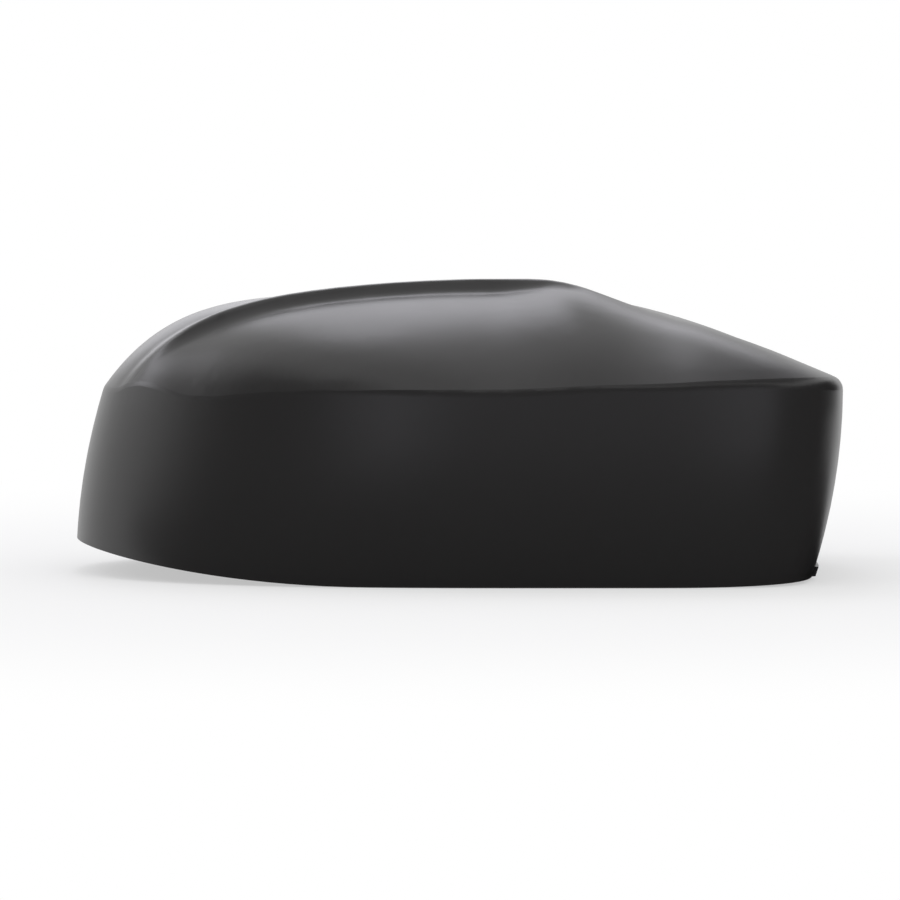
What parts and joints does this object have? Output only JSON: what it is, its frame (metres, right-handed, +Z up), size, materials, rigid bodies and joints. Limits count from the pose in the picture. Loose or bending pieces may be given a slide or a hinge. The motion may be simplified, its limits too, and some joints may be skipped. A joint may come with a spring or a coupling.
{
  "type": "wing mirror cover",
  "caption": "Cover for the back of a car wing mirror: a hollow domed cap with a sweeping raised brow and its lip, a bowed skirt, and clip hooks and locating pegs inside.",
  "frame": {"origin": "Centre of the plan box, on the plane that the rim rests on.", "axes": "+X along the cover toward its inboard end, +Y from the wall that the picture shows to the far wall, +Z up from the rim to the crown."},
  "size_m": [0.2305, 0.144, 0.0889],
  "materials": {
    "moulded_black": "satin, fine moulded grain"
  },
  "bodies": {
    "root": {"mirror_cover": "moulded_black"}
  },
  "joints": []
}
